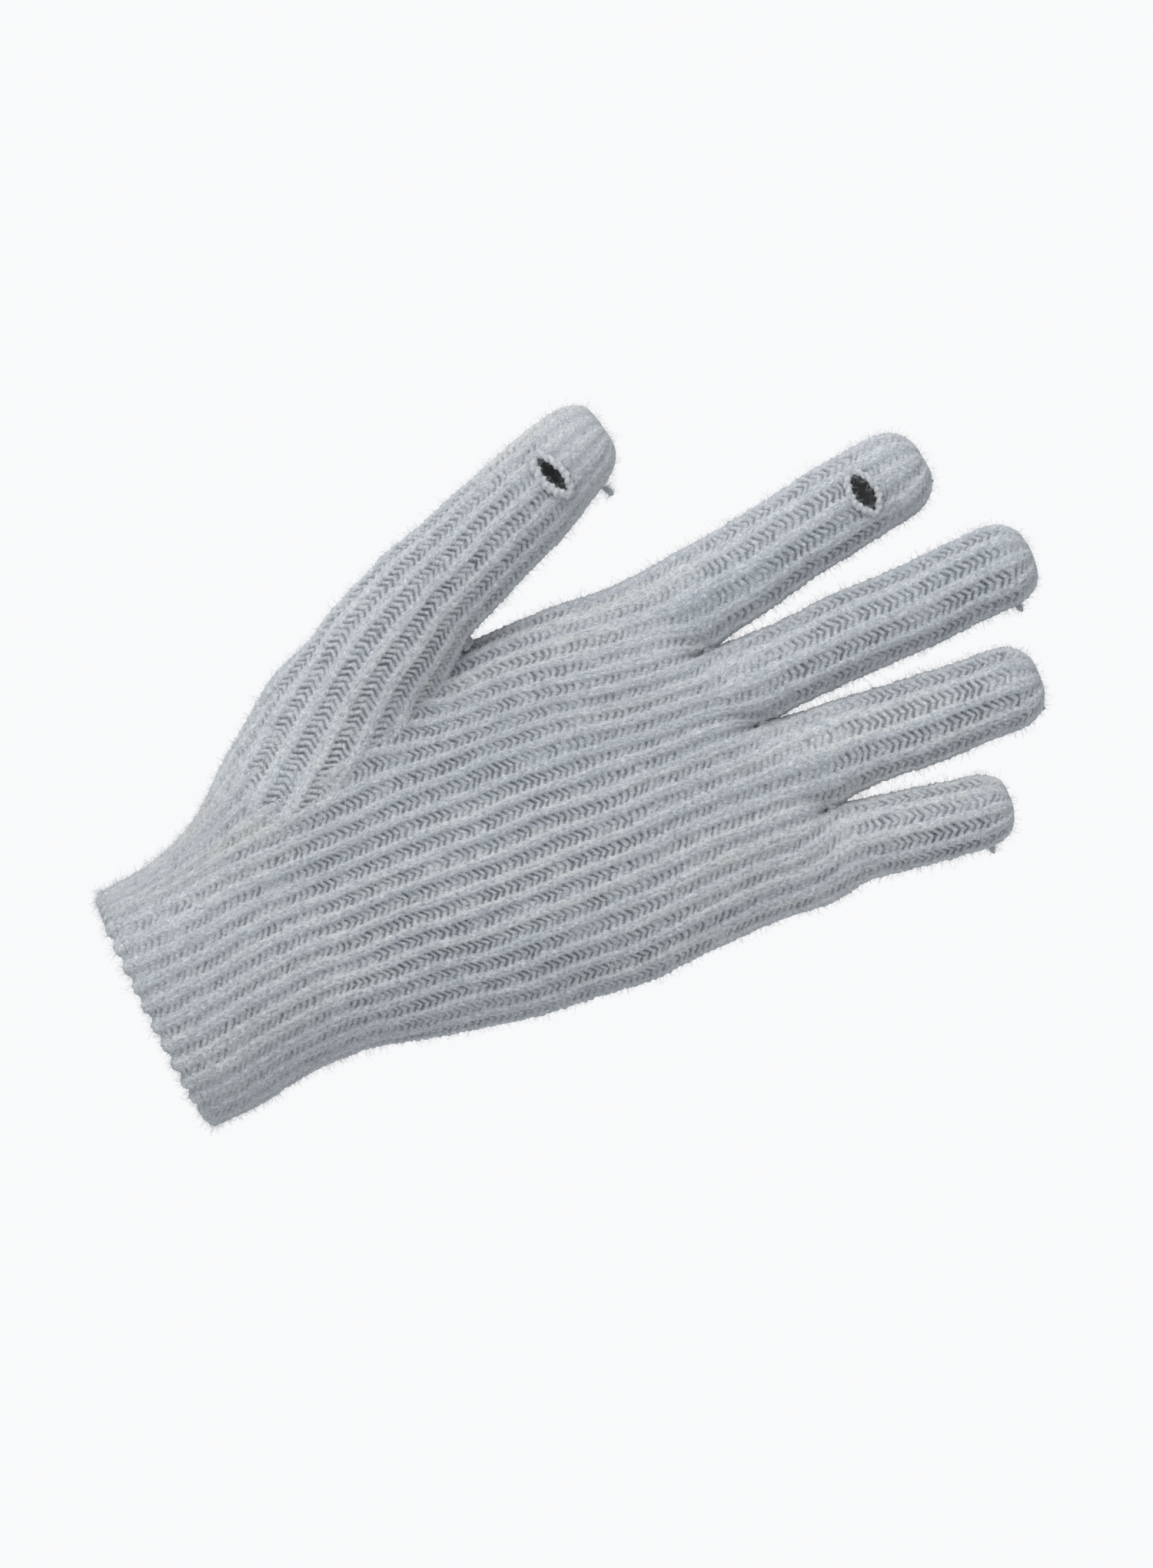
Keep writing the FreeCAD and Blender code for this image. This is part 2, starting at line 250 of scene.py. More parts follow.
def fingerPoint(digit, side, z, share, above=False):
    # a point of the finger's tube, front or back half, from its left side (0) to its right side (1)
    u, w = axes(digit)
    base = np.array(digit["base"], float)
    turn = math.pi + math.pi * share
    reach = z - base[2]
    width, height = halfWidth(digit, reach)
    across = width * np.cos(turn)
    tilt = smooth(digit["start"], digit["start"] + parting["straightens"], z)
    lean = math.tan(math.radians(digit["lean"]))
    height = height + (1 - tilt) * across * lean
    if digit["slit"] and side < 0:
        height = height + slitShift(digit, across, height, above)
    x = base[0] + w[0] * height + u[0] * across
    zz = base[2] + w[2] * height + u[2] * across
    y = side * width * digit["flat"] * np.abs(np.sin(turn))
    left, right = fingerSides(digit)
    for fork, sign in ((left, -1), (right, 1)):
        if fork is None:
            continue
        edgeX = base[0] + (z - base[2]) * lean + sign * width / u[0]
        atFork = base[0] + (fork[1] - base[2]) * lean
        atFork = atFork + sign * halfWidth(digit, np.array(fork[1] - base[2]))[0] / u[0]
        fading = np.exp(-np.maximum(z - fork[1], 0) / parting["pull"])
        shift = np.where(z < fork[1], fork[0] - edgeX, (fork[0] - atFork) * fading)
        near = np.clip(1 - (share if sign < 0 else 1 - share) / parting["pulledShare"], 0, 1) ** 2
        x = x + shift * near
    return np.stack([x, y, zz], -1)


def bodyPoint(digit, side, z, share):
    # hand and finger in one: the hand divides into fingers near the forks
    i = digitOrder.index(digit["name"])
    x, y = handPoint(side, z, (i + share) / len(digitOrder))
    palm = np.stack([x, y, z], -1)
    finger = fingerPoint(digit, side, z, share)
    left, right = fingerSides(digit)
    outside = digit["base"][2] - parting["outside"]
    lowFork = left[1] if left else outside
    highFork = right[1] if right else outside
    fork = lowFork + (highFork - lowFork) * share
    mix = smooth(fork - parting["length"], fork, z) ** parting["sharpness"]
    return palm * (1 - mix[..., None]) + finger * mix[..., None]


# Distances from the hand and from the thumb, where the heel of the thumb melts into the hand
# The seam is filled over this reach, less further up; the rest keeps the distances well behaved
melting = {"reach": 11.0, "less": 6.5, "between": (50, 80), "closest": 0.05, "pastEnd": 1.5, "axisPull": 0.02}


def handDistance(p):
    centre, half, depth = handSection(p[..., 2])
    n = hand["squareness"]
    a = np.abs(p[..., 0] - centre) / half
    b = np.abs(p[..., 1]) / depth
    rho = np.maximum((a**n + b**n) ** (1 / n), melting["closest"])
    slope = np.hypot(a ** (n - 1) / half, b ** (n - 1) / depth) / rho ** (n - 1)
    return (rho - 1) / np.maximum(slope, 1e-3)


def thumbSections(along):
    # centre, lean, half width, half depth and height of the thumb; below 0 is its heel
    heel = np.array(thumb["heel"], float)
    steps = np.hypot(np.diff(heel[:, 0]), np.diff(heel[:, 1]))
    at = runOf(steps) - steps.sum()
    a = math.radians(thumb["lean"])
    width, height = halfWidth(thumb, np.maximum(along, 0))
    past = (heel[-1, 0] + math.sin(a) * height, heel[-1, 1] + math.cos(a) * height,
            thumb["lean"], width, width * thumb["flat"], thumb["base"][1])
    x, z, lean, halfW, halfD, y = [np.where(along < 0, through(along, at, heel[:, i]), value)
                                   for i, value in enumerate(past)]
    return x, y, z, lean, halfW, halfD, height


heelRun = float(np.hypot(*np.diff(np.array(thumb["heel"], float)[:, :2], axis=0).T).sum())


def thumbDistance(p):
    x, y, z, lean, halfW, halfD, _ = thumbSections(np.linspace(-heelRun, 40, 130))
    a = np.radians(lean)
    flat = p.reshape(-1, 3)
    out = np.empty(len(flat))
    batch = 20000  # keeps the memory small
    for start in range(0, len(flat), batch):
        q = flat[start:start + batch]
        offX = q[:, 0, None] - x
        offZ = q[:, 2, None] - z
        away = offX * np.sin(a) + offZ * np.cos(a)
        k = np.argmin(away**2 + melting["axisPull"] * (offX ** 2 + offZ ** 2), 1)
        across = (q[:, 0] - x[k]) * np.cos(a[k]) - (q[:, 2] - z[k]) * np.sin(a[k])
        e = across / halfW[k]
        f = (q[:, 1] - y[k]) / halfD[k]
        rho = np.maximum(np.hypot(e, f), melting["closest"])
        slope = np.hypot(e / halfW[k], f / halfD[k]) / rho
        past = np.abs(away[np.arange(len(q)), k])
        past = np.maximum(past - melting["pastEnd"], 0)
        out[start:start + batch] = (rho - 1) / np.maximum(slope, 1e-3) + past
    return out.reshape(p.shape[:-1])


def melt(points, normals, distance):
    # fills the hollow along a line where two surfaces meet
    reach = melting["reach"] - melting["less"] * smooth(*melting["between"], points[..., 2])
    lift = reach * np.clip(1 - np.abs(distance) / reach, 0, 1) ** 2 / 4
    return points + normals * lift[..., None]


noiseTable = rng.random((64, 256))
strays = {"far": 0.20, "near": 0.045}  # how far worn fabric leaves its even shape, mm


def stray(points):
    # moves points a little, the same way for every piece at the same place
    x, y, z = points[..., 0], points[..., 1], points[..., 2]
    farX = np.sin(0.17 * z + 0.05 * x + 0.5) + 0.6 * np.sin(0.29 * z - 0.11 * x + 2.1)
    farY = np.sin(0.15 * z - 0.12 * x + 1.7) + 0.6 * np.sin(0.24 * x + 0.13 * z + 0.3)
    nearX = np.sin(0.95 * z + 0.40 * x + 4.0) + 0.8 * np.sin(1.33 * z - 0.62 * x + 1.1)
    nearZ = np.sin(0.83 * x + 0.35 * z + 2.6) + 0.8 * np.sin(0.57 * z + 1.1 * x + 5.2)
    far, near = strays["far"], strays["near"]
    return points + np.stack([far * farX + near * nearX, far * farY, near * nearZ], -1)


def softNoise(u, v, seed=0):
    # smooth noise from 0 to 1, read from one table of random numbers
    u = u + seed * 7.31
    v = v + seed * 3.17
    i = np.floor(u).astype(int)
    j = np.floor(v).astype(int)
    fu = u - i
    fv = v - j
    fu = fu * fu * (3 - 2 * fu)
    fv = fv * fv * (3 - 2 * fv)
    rows, cols = noiseTable.shape
    a = noiseTable[i % rows, j % cols]
    b = noiseTable[(i + 1) % rows, j % cols]
    c = noiseTable[i % rows, (j + 1) % cols]
    d = noiseTable[(i + 1) % rows, (j + 1) % cols]
    return (a * (1 - fu) + b * fu) * (1 - fv) + (c * (1 - fu) + d * fu) * fv


# Distances are in ribs from the middle of a rib, heights in mm
stitch = {
    "ridge": 0.56,  # height of a rib above the ladder between ribs
    "slot": 0.55,  # depth of the ladder's holes
    "fluff": 0.072,  # roughness of the wool
    "flatTop": 0.165, "foot": 0.30, "crown": 0.36, "crownShare": 0.55, "topShare": 0.45,
    "stretched": (0.82, 1.08),  # openness at which the fabric starts and ends to widen
    "opens": (0.6, 0.9), "narrowOpen": 0.04, "narrowWide": 0.035,
    "lineDepth": 0.20, "lineWidth": 0.04,  # between the two wales of a rib
    "legHeight": 0.32, "legRise": 1.25, "legReach": 0.27,  # the slanting legs of the stitches
    "slant": 2.1, "chevron": 0.6, "chevronWide": 1.9,  # how the ladder's rungs lie
    "ladder": 0.105, "ladderWide": 0.05, "ladderUneven": 0.075, "ladderEdge": 0.07,
    "holeSize": 1.12, "holeSharpness": 2.0, "holeMost": 1.3,
    "wander": 0.08, "uneven": 0.34, "drift": 0.3, "lumps": 0.26,
    "eachStitch": (0.42, 0.95), "eachRib": (0.78, 0.36),  # least depth of a hole, and what chance adds
    "denseFrom": (0.15, 0.6), "denseHeight": (0.62, 0.38),
}


def stitchRelief(rib, course, openness, seed):
    # height in mm, how open the holes are and how raised the knitting is, at a rib and a course number
    wander = stitch["wander"] * (softNoise(rib * 0.9, course * 0.35, seed) - 0.5)
    r = (rib + wander) % 1.0
    d = np.abs(r - 0.5)  # 0 on the middle of a rib, 0.5 between two
    wide = smooth(*stitch["stretched"], openness)
    narrow = stitch["narrowOpen"] * smooth(*stitch["opens"], openness) + stitch["narrowWide"] * wide
    ridge = 1 - smooth(stitch["flatTop"] - narrow, stitch["foot"] - narrow, d)
    crown = np.sqrt(np.clip(1 - (d / (stitch["crown"] - narrow)) ** 2, 0, 1))
    height = stitch["ridge"] * (stitch["crownShare"] * crown + stitch["topShare"] * ridge)
    height -= stitch["lineDepth"] * np.exp(-(d / stitch["lineWidth"]) ** 2)
    jitter = stitch["uneven"] * (softNoise(rib * 3.1, course * 0.9, seed + 1) - 0.5)
    leg = 0.5 + 0.5 * np.cos(2 * math.pi * (course - stitch["legRise"] * d / stitch["legReach"] + jitter))
    height += stitch["legHeight"] * (leg - 0.5) * ridge
    gap = 0.5 - d  # 0 in the middle of the ladder
    side = r - np.round(r)  # the same, but signed
    chevron = stitch["chevron"] + stitch["chevronWide"] * wide
    slant = (1 - wide) * stitch["slant"] * side + chevron * np.abs(side)
    drift = stitch["drift"] * (softNoise(rib * 1.0, course * 0.11, seed + 4) - 0.5)
    rung = 0.5 + 0.5 * np.cos(2 * math.pi * (course + slant + jitter + drift))
    ribNumber = np.floor(rib + 0.5)
    uneven = stitch["ladderUneven"] * softNoise(ribNumber * 3.7, course * 0.33, seed + 7)
    edgeAt = stitch["ladder"] + stitch["ladderWide"] * wide + uneven
    inLadder = 1 - smooth(edgeAt + narrow, edgeAt + narrow + stitch["ladderEdge"], gap)
    hole = stitch["holeSize"] * (1 - rung) ** stitch["holeSharpness"] * inLadder
    least, more = stitch["eachStitch"]
    vary = least + more * softNoise(rib * 1.9, course * 0.85, seed + 2)
    least, more = stitch["eachRib"]
    vary *= least + more * softNoise(ribNumber * 5.3, course * 0.12, seed + 8)
    hole *= openness * vary
    height -= stitch["slot"] * hole
    height += stitch["lumps"] * (softNoise(rib * 6.0, course * 1.3, seed + 3) - 0.5)
    least, more = stitch["denseHeight"]
    height *= least + more * smooth(*stitch["denseFrom"], openness)
    rough = rng.normal(0, stitch["fluff"], height.shape)
    rough[[0, -1]] = 0  # rows and columns shared with the next piece stay alike
    rough[:, [0, -1]] = 0
    height += rough
    return height, np.clip(hole, 0, stitch["holeMost"]), ridge


yarnRuns = {"streak": 0.055, "streakShare": 0.62, "cloud": (0.22, 0.035), "cloudShare": 0.38}


def ribTone(rib, course, seed):
    # long streaks of a paler, greener yarn that follow single ribs
    wale = np.floor(rib * 2.0)
    pick = (np.sin(wale * 12.9898 + seed * 78.233) * 43758.5453) % 1.0
    streak = softNoise(pick * 61.0, course * yarnRuns["streak"] + pick * 40, seed + 5)
    cloud = softNoise(rib * yarnRuns["cloud"][0], course * yarnRuns["cloud"][1], seed + 6)
    return np.clip(yarnRuns["streakShare"] * streak + yarnRuns["cloudShare"] * cloud, 0, 1)


def normalsOf(grid):
    across = np.gradient(grid, axis=1)
    along = np.gradient(grid, axis=0)
    return unit(np.cross(across, along))


class Cloth:
    # collects the grids of one piece; each point keeps its look (hole, raised, tone) and its place in the knit

    def __init__(self):
        self.points, self.faces, self.looks, self.places, self.kinds = [], [], [], [], []
        self.count = 0

    def add(self, points, faces, looks, places, kind=0):
        self.points.append(points)
        self.faces.append(faces + self.count)
        self.looks.append(looks)
        self.places.append(places)
        self.kinds.append(np.full(len(faces), kind, np.int32))
        self.count += len(points)

    def addGrid(self, points, looks, places, keep=None, flip=False):
        rows, cols = points.shape[:2]
        i = np.arange(rows * cols).reshape(rows, cols)
        quads = np.stack([i[:-1, :-1], i[:-1, 1:], i[1:, 1:], i[1:, :-1]], -1).reshape(-1, 4)
        if keep is not None:
            k = keep[:-1, :-1] & keep[:-1, 1:] & keep[1:, 1:] & keep[1:, :-1]
            quads = quads[k.reshape(-1)]
        if flip:
            quads = quads[:, ::-1]
        self.add(points.reshape(-1, 3), quads, looks.reshape(-1, 3), places.reshape(-1, 3))

    def build(self, name, materials):
        parts = (self.points, self.faces, self.looks, self.places, self.kinds)
        points, faces, looks, places, kinds = (np.concatenate(part) for part in parts)
        used = np.zeros(len(points), bool)
        used[faces.reshape(-1)] = True
        number = np.cumsum(used) - 1
        faces = number[faces]
        points, looks, places = points[used], looks[used], places[used]
        mesh = bpy.data.meshes.new(name)
        mesh.vertices.add(len(points))
        mesh.vertices.foreach_set("co", (points * mm).astype(np.float32).reshape(-1))
        mesh.loops.add(faces.size)
        mesh.loops.foreach_set("vertex_index", faces.astype(np.int32).reshape(-1))
        mesh.polygons.add(len(faces))
        mesh.polygons.foreach_set("loop_start", np.arange(0, faces.size, 4, dtype=np.int32))
        mesh.polygons.foreach_set("material_index", kinds)
        mesh.update(calc_edges=True)
        mesh.polygons.foreach_set("use_smooth", np.ones(len(faces), bool))
        for attribute, values in (("look", looks), ("place", places)):
            made = mesh.attributes.new(attribute, "FLOAT_VECTOR", "POINT")
            made.data.foreach_set("vector", values.astype(np.float32).reshape(-1))
        for material in materials:
            mesh.materials.append(material)
        obj = bpy.data.objects.new(name, mesh)
        scene.collection.objects.link(obj)
        return obj


fuzz = {
    "perSquare": 1.15,  # fibres on a square millimetre
    "length": (0.9, 3.3), "width": 0.055,
    "rise": (0.15, 0.95), "curl": 0.9, "taper": 0.6,
    "alongLength": (0.0, 0.35, 0.7, 1.0),
    "arch": 2.2, "lie": 0.8, "bend": 0.5,
}


def addFuzz(cloth, points, normals, keep, amount=1.0):
    # loose fibres standing off the knitting, each a thin ribbon of three faces
    corner = points[:-1, :-1]
    size = np.linalg.norm(np.cross(points[1:, :-1] - corner, points[:-1, 1:] - corner), axis=-1)
    if keep is not None:
        size = size * keep[:-1, :-1]
    total = size.sum()
    count = int(total * fuzz["perSquare"] * amount)
    if count < 1:
        return
    pick = rng.choice(size.size, count, p=(size / total).reshape(-1))
    i, j = np.unravel_index(pick, size.shape)
    root = points[i, j]
    n = normals[i, j]
    tangent = rng.normal(size=(count, 3))
    tangent = unit(tangent - n * np.sum(tangent * n, 1, keepdims=True))
    side = np.cross(n, tangent)
    length = rng.uniform(*fuzz["length"], (count, 1)) * rng.uniform(0.5, 1, (count, 1))
    rise = rng.uniform(*fuzz["rise"], (count, 1))
    curl = rng.uniform(-fuzz["curl"], fuzz["curl"], (count, 1))
    strip = []
    for k, t in enumerate(fuzz["alongLength"]):
        lift = np.sin(t * fuzz["arch"]) * rise
        line = root + length * (tangent * t * fuzz["lie"] + n * lift + side * curl * t * t * fuzz["bend"])
        thin = fuzz["width"] / 2 * (1 - fuzz["taper"] * k / 3)
        strip.append(line - side * thin)
        strip.append(line + side * thin)
    ribbon = np.stack(strip, 1).reshape(-1, 3)
    at = np.arange(count)[:, None] * 8
    corners = [[0, 1, 3, 2], [2, 3, 5, 4], [4, 5, 7, 6]]
    faces = np.concatenate([at + np.array([four]) for four in corners])
    look = np.tile(np.array([[0.0, 1.0, 0.5]]), (len(ribbon), 1))
    look[:, 2] = np.repeat(rng.random(count), 8)
    cloth.add(ribbon, faces, look, ribbon.copy(), 1)


insideLightMark = 2.0  # "raised" of the fabric's inner face, which is painted paler as light coming through the thin knit


def knitPart(cloth, grid, ribs, courses, openness, seed, keep=None, inner=True, fuzzy=1.0, melted=None):
    # makes knitting of a smooth grid, which is one row and column wider each way
    grid = stray(grid)
    normals = normalsOf(grid)[1:-1, 1:-1]
    base = grid[1:-1, 1:-1]
    if melted is not None:
        base = melt(base, normals, melted)
    pitch = np.linalg.norm(np.diff(grid, axis=1), axis=-1)[1:-1, :-1] * knit["ribSteps"]
    strength = np.clip(pitch / knit["full"], knit["least"], 1.0)
    height, hole, ridge = stitchRelief(ribs, courses, openness, seed)
    height = height * strength
    points = base + normals * height[..., None]
    # hole marks where painted shade is laid in the material; ridge, where the ladder gets a little painted
    # shade
    looks = np.stack([hole * strength, ridge, ribTone(ribs, courses, seed)], -1)
    places = np.stack([ribs * 5.0, courses * 1.7, np.full(ribs.shape, seed * 13.0)], -1)
    cloth.addGrid(points, looks, places, keep)
    addFuzz(cloth, points, normals, keep, fuzzy)
    if inner:
        rowStep, colStep = knit["courseSteps"], knit["ribSteps"] // 4
        ri = np.unique(np.append(np.arange(0, base.shape[0], rowStep), base.shape[0] - 1))
        ci = np.unique(np.append(np.arange(0, base.shape[1], colStep), base.shape[1] - 1))
        pick = np.ix_(ri, ci)
        inside = base[pick] - normals[pick] * (knit["wall"] - knit["wallAtRib"] * ridge[pick])[..., None]
        insideLooks = looks[pick].copy()
        # the inner face: no painted hole shade, and the mark that paints it paler as light coming through the
        # knit
        insideLooks[..., 0] = 0.0
        insideLooks[..., 1] = insideLightMark
        cloth.addGrid(inside, insideLooks, places[pick], None if keep is None else keep[pick], flip=True)


# Wool: its colours, the noises along the yarn (scale, detail, stretch) and the layers laid over each other
# in this order: what a layer follows, from, to, strength and colour
yarnLook = {
    "pale": (0.545, 0.572, 0.590, 1),
    "green": (0.550, 0.570, 0.545, 1),
    "blue": (0.420, 0.455, 0.492, 1),
    # slot: painted shade, laid in the open holes, the ply grooves and between the ribs
    "slot": (0.085, 0.100, 0.125, 1),
    "fleck": (0.315, 0.350, 0.405, 1),
    "white": (0.80, 0.82, 0.84, 1),
    "twoTones": (0.30, 0.72),
    "roughness": 0.88, "roughVaries": 0.08,
    "sheen": 0.35, "sheenRoughness": 0.5, "specular": 0.2,
    "bump": 0.8, "bumpDepth": 0.0004,
}
yarnNoise = {
    "cloud": (0.35, 2, (1.0, 0.45, 1.0)),
    "long": (1.1, 5, (2.0, 0.62, 1.0)),
    "short": (1.9, 5, (1.6, 0.62, 1.0)),
    "grain": (5.2, 3, (1.3, 0.9, 1.0)),
}
yarnLayers = [
    ("tone", 0.60, 0.85, 0.75, "green"),
    ("cloud", 0.35, 0.70, 0.35, "blue"),
    ("long", 0.50, 0.62, 0.85, "fleck"),
    ("short", 0.51, 0.66, 0.55, "white"),
    ("grain", 0.52, 0.66, 0.50, "white"),
    ("grain", 0.46, 0.33, 0.22, "fleck"),
    # painted shade: the ladder between the ribs a little darker than the rib tops
    ("raised", 0.9, 0.1, 0.08, "slot"),
    ("raised", 1.3, 1.9, 0.8, "white"),  # the inner face, painted paler as light coming through the thin knit
    ("hole", 0.15, 0.85, 0.60, "slot"),  # painted shade in the open holes and ply grooves; not on loose fibres
]


def node(tree, kind, **values):
    made = tree.nodes.new(kind)
    for key, value in values.items():
        setattr(made, key, value)
    return made


def mixColour(tree, share, a, b):
    mix = node(tree, "ShaderNodeMix", data_type="RGBA")
    for socket, value in ((mix.inputs[0], share), (mix.inputs[6], a), (mix.inputs[7], b)):
        if isinstance(value, bpy.types.NodeSocket):
            tree.links.new(value, socket)
        else:
            socket.default_value = value
    return mix.outputs[2]


def mapRange(tree, value, low, high, toLow=0.0, toHigh=1.0):
    made = node(tree, "ShaderNodeMapRange")
    tree.links.new(value, made.inputs[0])
    for i, number in enumerate((low, high, toLow, toHigh)):
        made.inputs[i + 1].default_value = number
    return made.outputs[0]


def streaks(tree, place, scale, detail, stretch):
    move = node(tree, "ShaderNodeMapping")
    tree.links.new(place, move.inputs["Vector"])
    move.inputs["Scale"].default_value = stretch
    noise = node(tree, "ShaderNodeTexNoise")
    tree.links.new(move.outputs[0], noise.inputs["Vector"])
    noise.inputs["Scale"].default_value = scale
    noise.inputs["Detail"].default_value = detail
    return noise.outputs["Fac"]


def yarnMaterial(name, darker=1.0, fluffy=False):
    # heather wool: blue-grey tones, pale and dark fibres drawn out along the yarn; painted shade in the open
    # holes, ply grooves and between ribs, and the inner face painted paler as light coming through the knit
    material = bpy.data.materials.new(name)
    material.use_nodes = True
    tree = material.node_tree
    shader = tree.nodes["Principled BSDF"]
    look = node(tree, "ShaderNodeAttribute", attribute_name="look").outputs["Vector"]
    place = node(tree, "ShaderNodeAttribute", attribute_name="place").outputs["Vector"]
    parts = node(tree, "ShaderNodeSeparateXYZ")
    tree.links.new(look, parts.inputs[0])
    follows = dict(zip(("hole", "raised", "tone"), parts.outputs))
    for key, settings in yarnNoise.items():
        follows[key] = streaks(tree, place, *settings)
    shaded = {k: tuple(c * darker for c in v[:3]) + (1,) for k, v in yarnLook.items()
              if isinstance(v, tuple) and len(v) == 4}
    tone = mapRange(tree, follows["tone"], *yarnLook["twoTones"])
    base = mixColour(tree, tone, shaded["blue"], shaded["pale"])
    for key, low, high, strength, colour in yarnLayers:
        if key == "hole" and fluffy:
            continue
        base = mixColour(tree, mapRange(tree, follows[key], low, high, 0, strength), base, shaded[colour])
    tree.links.new(base, shader.inputs["Base Color"])
    least = yarnLook["roughness"] - yarnLook["roughVaries"]
    most = yarnLook["roughness"] + yarnLook["roughVaries"]
    tree.links.new(mapRange(tree, follows["long"], 0.3, 0.7, least, most), shader.inputs["Roughness"])
    shader.inputs["Sheen Weight"].default_value = yarnLook["sheen"]
    shader.inputs["Sheen Roughness"].default_value = yarnLook["sheenRoughness"]
    shader.inputs["Specular IOR Level"].default_value = yarnLook["specular"]
    bump = node(tree, "ShaderNodeBump")
    bump.inputs["Strength"].default_value = yarnLook["bump"]
    bump.inputs["Distance"].default_value = yarnLook["bumpDepth"]
    tree.links.new(follows["grain"], bump.inputs["Height"])
    tree.links.new(bump.outputs[0], shader.inputs["Normal"])
    return material


knitMaterial = yarnMaterial("heather_knit")
fuzzMaterial = yarnMaterial("loose_fibres", 1.05, fluffy=True)
seamMaterial = yarnMaterial("seam_wool", 0.92)
bindMaterial = yarnMaterial("binding_wool", 1.0)
elasticMaterial = yarnMaterial("elastic_thread_cover", 1.1)
fabric = [knitMaterial, fuzzMaterial]
print("materials made")

# How far the ladders stand open: wide over the palm's heel, tight under the fingers and in the cuff
opening = {
    "atWrist": 0.55, "atHeel": 0.50, "opensOver": (22, 52), "lessAbove": 0.35, "closesOver": (96, 140),
    "uneven": 0.10, "cuff": 1.3,
    "finger": 0.84, "fingerMiddle": 0.34,
    "thumb": 1.12, "thumbLess": 0.24, "thumbOver": (0, 45),
    "closes": {"slit": 0.42, "tip": 0.30, "thumb": 0.62},  # tips are dense
    "closesWithin": 6, "belowSlit": 1, "belowTip": 8,
}
rowStep = knit["course"] / knit["courseSteps"]
fingerRibs = hand["ribs"] // len(digitOrder)
seeds = {-1: 1, 1: 2, "thumb": 3, "edge": 5}  # of the noise: palm and fingers, back, and the rest
cutAway = {"inside": -2.0, "above": 36}  # fabric this far inside the thumb, above this height


def openAt(z, share):
    wide = opening["atWrist"] + opening["atHeel"] * smooth(*opening["opensOver"], z)
    wide = wide - opening["lessAbove"] * smooth(*opening["closesOver"], z)
    return wide + opening["uneven"] * (softNoise(share * 5, z * 0.05, 9) - 0.5)


def denser(openness, start, share, along):
    # closes the ladders from a distance along the finger to its tip
    return openness * (1 - share * smooth(start, start + opening["closesWithin"], along))


def handBlock(digit, side, low, high):
    # one finger's share of the hand: smooth grid, rib and course numbers, heights and shares
    i = digitOrder.index(digit["name"])
    steps = fingerRibs * knit["ribSteps"]
    share = np.arange(-1, steps + 2) / steps
    if i == 0:
        share = np.maximum(share, 0)
    if i == len(digitOrder) - 1:
        share = np.minimum(share, 1)
    count = int(round((high - low) / rowStep))
    rows = low + np.arange(-1, count + 2) * rowStep
    z, s = np.meshgrid(rows, share, indexing="ij")
    grid = bodyPoint(digit, side, z, s)
    z = z[1:-1, 1:-1]
    s = s[1:-1, 1:-1]
    ribs = (i + s) * fingerRibs
    courses = (z - hand["cuffTop"]) / knit["course"]
    if side > 0:  # the back runs the other way round
        grid, ribs, courses, s = grid[:, ::-1], ribs[:, ::-1], courses[:, ::-1], s[:, ::-1]
    return grid, ribs, courses, z, s


def makeHand(name, side, node, fuzzy):
    # returns the piece, and for each finger's share its grid and its distances from the thumb
    cloth = Cloth()
    blocks = []
    for digit in digits.values():
        grid, ribs, courses, z, s = handBlock(digit, side, hand["cuffTop"], digit["start"])
        inner = grid[1:-1, 1:-1]
        near = thumbDistance(inner)
        keep = ~((near < cutAway["inside"]) & (z > cutAway["above"]))
        knitPart(cloth, grid, ribs, courses, openAt(z, s), seeds[side], keep, melted=near, fuzzy=fuzzy)
        blocks.append((inner, near))
    obj = cloth.build(name, fabric)
    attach(obj, "hand")
    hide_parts(node)
    return obj, blocks


palm, palmBlocks = makeHand("palm_knit", -1, "palm_panel", 1.0)
back, backBlocks = makeHand("back_knit", 1, "back_panel", 0.7)
print("palm and back knitted", len(palm.data.polygons), len(back.data.polygons))


def makeCuff():
    cloth = Cloth()
    for side in (-1, 1):
        for digit in digits.values():
            grid, ribs, courses, z, s = handBlock(digit, side, hand["cuffBottom"], hand["cuffTop"])
            near = thumbDistance(grid[1:-1, 1:-1])
            openness = openAt(z, s) * opening["cuff"]
            knitPart(cloth, grid, ribs, courses, openness, seeds[side], melted=near, fuzzy=1.5)
    obj = cloth.build("cuff_knit", fabric)
    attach(obj, "hand")
    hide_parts("cuff_rib")
    return obj


cuff = makeCuff()
print("cuff knitted", len(cuff.data.polygons))


def fingerRows(digit):
    # distances along a finger's surface, from its start to its tip, and the course numbers there
    step = knit["fingerCourse"] / knit["courseSteps"]
    start = digit["start"] - digit["base"][2]
    end = surfaceLength(digit)
    count = int((end - start) / step)
    numbers = np.arange(-1, count + 2)
    first = (digit["start"] - hand["cuffTop"]) / knit["course"]
    return start + numbers * (end - start) / count, first + numbers / knit["courseSteps"]


def fingerGrid(digit, rows, above):
    steps = fingerRibs * knit["ribSteps"]
    share = np.arange(0, steps + 1) / steps
    z, s = np.meshgrid(rows + digit["base"][2], share, indexing="ij")
    front = fingerPoint(digit, -1, z, s, above)
    rear = fingerPoint(digit, 1, z, s)[:, ::-1]
    ring = np.concatenate([front, rear[:, 1:-1]], 1)
    i = digitOrder.index(digit["name"])
    ribs = np.concatenate([s, s[:, ::-1][:, 1:-1]], 1) * fingerRibs + fingerRibs * i
    grid = np.concatenate([ring[:, -1:], ring, ring[:, :2]], 1)
    return grid, np.concatenate([ribs, ribs[:, :1]], 1)


